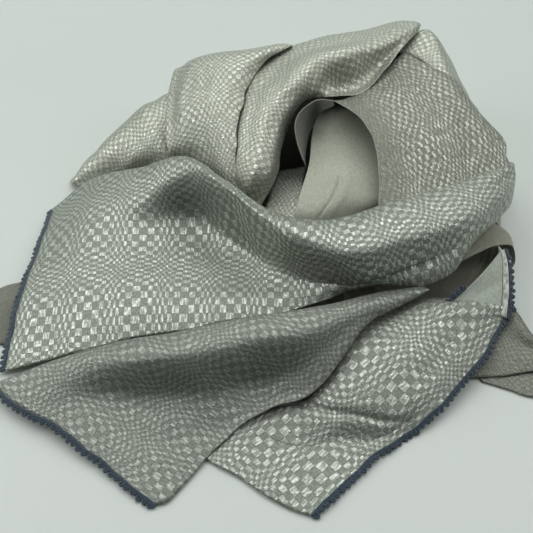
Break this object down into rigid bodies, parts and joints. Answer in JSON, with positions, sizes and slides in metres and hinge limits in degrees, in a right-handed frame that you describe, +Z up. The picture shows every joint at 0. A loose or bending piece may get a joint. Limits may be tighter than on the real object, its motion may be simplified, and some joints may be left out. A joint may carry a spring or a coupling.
{
  "type": "silk shawl",
  "caption": "Light handwoven silk shawl with a checked weave and a narrow crocheted picot edging on its short ends, dropped on a flat surface in a loose swirled heap.",
  "frame": {"origin": "bottom centre of the bounding box, on the surface the shawl lies on", "axes": "+X to the right end's side, +Y to the back of the heap, away from the two front flaps, +Z up"},
  "size_m": [0.7038, 0.731, 0.1809],
  "materials": {
    "silk_face": "silver grey silk, satin and matte checks",
    "silk_back": "plain matte wrong side, warm grey",
    "edging": "matte dark blue crocheted thread"
  },
  "bodies": {
    "root": {"upper_end": "silk_face", "lower_end": "silk_face", "right_end": "silk_face", "right_tail_upper": "silk_face", "right_tail_lower": "silk_face", "back_left_fold": "silk_face", "second_fold": "silk_face", "hood": "silk_face", "back_panel": "silk_face", "inner_wall": "silk_face", "hollow_patch": "silk_face", "turned_corner": "silk_back", "pocket": "silk_back", "right_side": "silk_back", "left_under_layer": "silk_back", "curled_lip": "silk_back", "inner_tongue": "silk_back", "edging_upper_end": "edging", "edging_lower_end": "edging", "edging_right_end": "edging", "edging_corner": "edging", "edging_inner_bit": "edging", "heap_core": "silk_face"}
  },
  "joints": []
}
